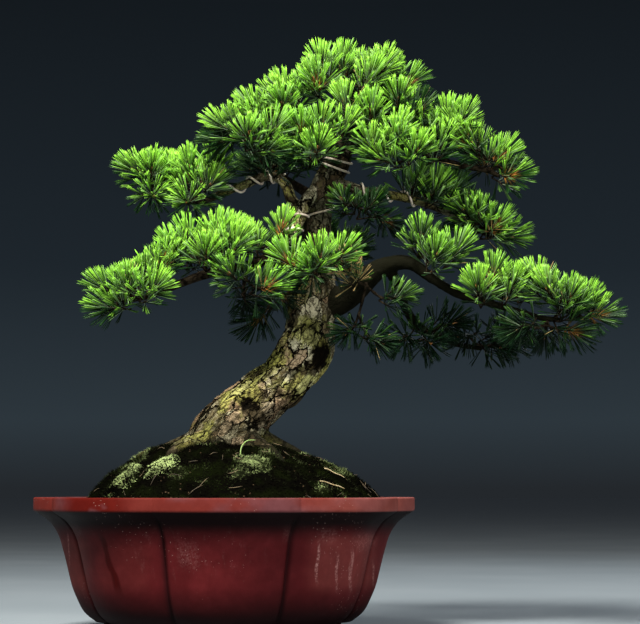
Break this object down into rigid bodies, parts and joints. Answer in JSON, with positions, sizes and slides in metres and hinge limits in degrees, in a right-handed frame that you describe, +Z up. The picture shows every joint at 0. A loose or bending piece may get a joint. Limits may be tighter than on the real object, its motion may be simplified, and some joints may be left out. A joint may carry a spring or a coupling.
{
  "type": "japanese white pine bonsai in a pot",
  "caption": "Leaning japanese white pine bonsai with wired branches and spreading needle pads, on a mossy mound in a lobed, footed stoneware pot.",
  "frame": {"origin": "middle of the plan of the whole plant and pot, on the surface the feet stand on", "axes": "+X to the right and +Z up as seen from the front, the front faces -Y"},
  "size_m": [0.6376, 0.3976, 0.6503],
  "materials": {
    "stoneware": "unglazed matte",
    "plastic_mesh": "matte",
    "mossy_soil": "rough",
    "moss": "soft",
    "bark": "rough bark",
    "copper_wire": "dull",
    "needles": "waxy",
    "straw": "dry",
    "grass": "satin"
  },
  "bodies": {
    "root": {"pot": "stoneware", "drain_screen_left": "plastic_mesh", "drain_screen_right": "plastic_mesh", "soil": "mossy_soil", "moss_front_left": "moss", "moss_front": "moss", "moss_front_right": "moss", "wood": "bark", "straw_long": "straw", "straw_short": "straw", "grass": "grass", "wire_trunk_upper": "copper_wire", "wire_trunk_lower": "copper_wire", "wire_lower_left": "copper_wire", "wire_left_upper": "copper_wire", "wire_right_middle": "copper_wire", "spray_crown_top": "needles", "spray_crown_right": "needles", "spray_crown_left": "needles", "spray_left_shoulder": "needles", "spray_crown_front": "needles", "spray_crown_middle": "needles", "spray_crown_back": "needles", "spray_right_fans": "needles", "spray_right_shoulder": "needles", "spray_right_shoulder_tip": "needles", "spray_left_upper_tip": "needles", "spray_left_upper": "needles", "spray_left_upper_inner": "needles", "spray_right_middle": "needles", "spray_right_middle_tip": "needles", "spray_inner_middle": "needles", "spray_lower_left_tip": "needles", "spray_lower_left": "needles", "spray_lower_left_inner": "needles", "spray_lower_left_front": "needles", "spray_lower_left_hanging": "needles", "spray_front_centre": "needles", "spray_right_lower_top": "needles", "spray_right_lower": "needles", "spray_right_lower_tip": "needles", "spray_right_lower_hanging": "needles", "spray_right_inner": "needles", "spray_right_hanging": "needles", "spray_right_hanging_inner": "needles", "spray_back_lower": "needles", "spray_back_lower_inner": "needles", "spray_back_middle": "needles", "spray_back_upper": "needles"}
  },
  "joints": []
}
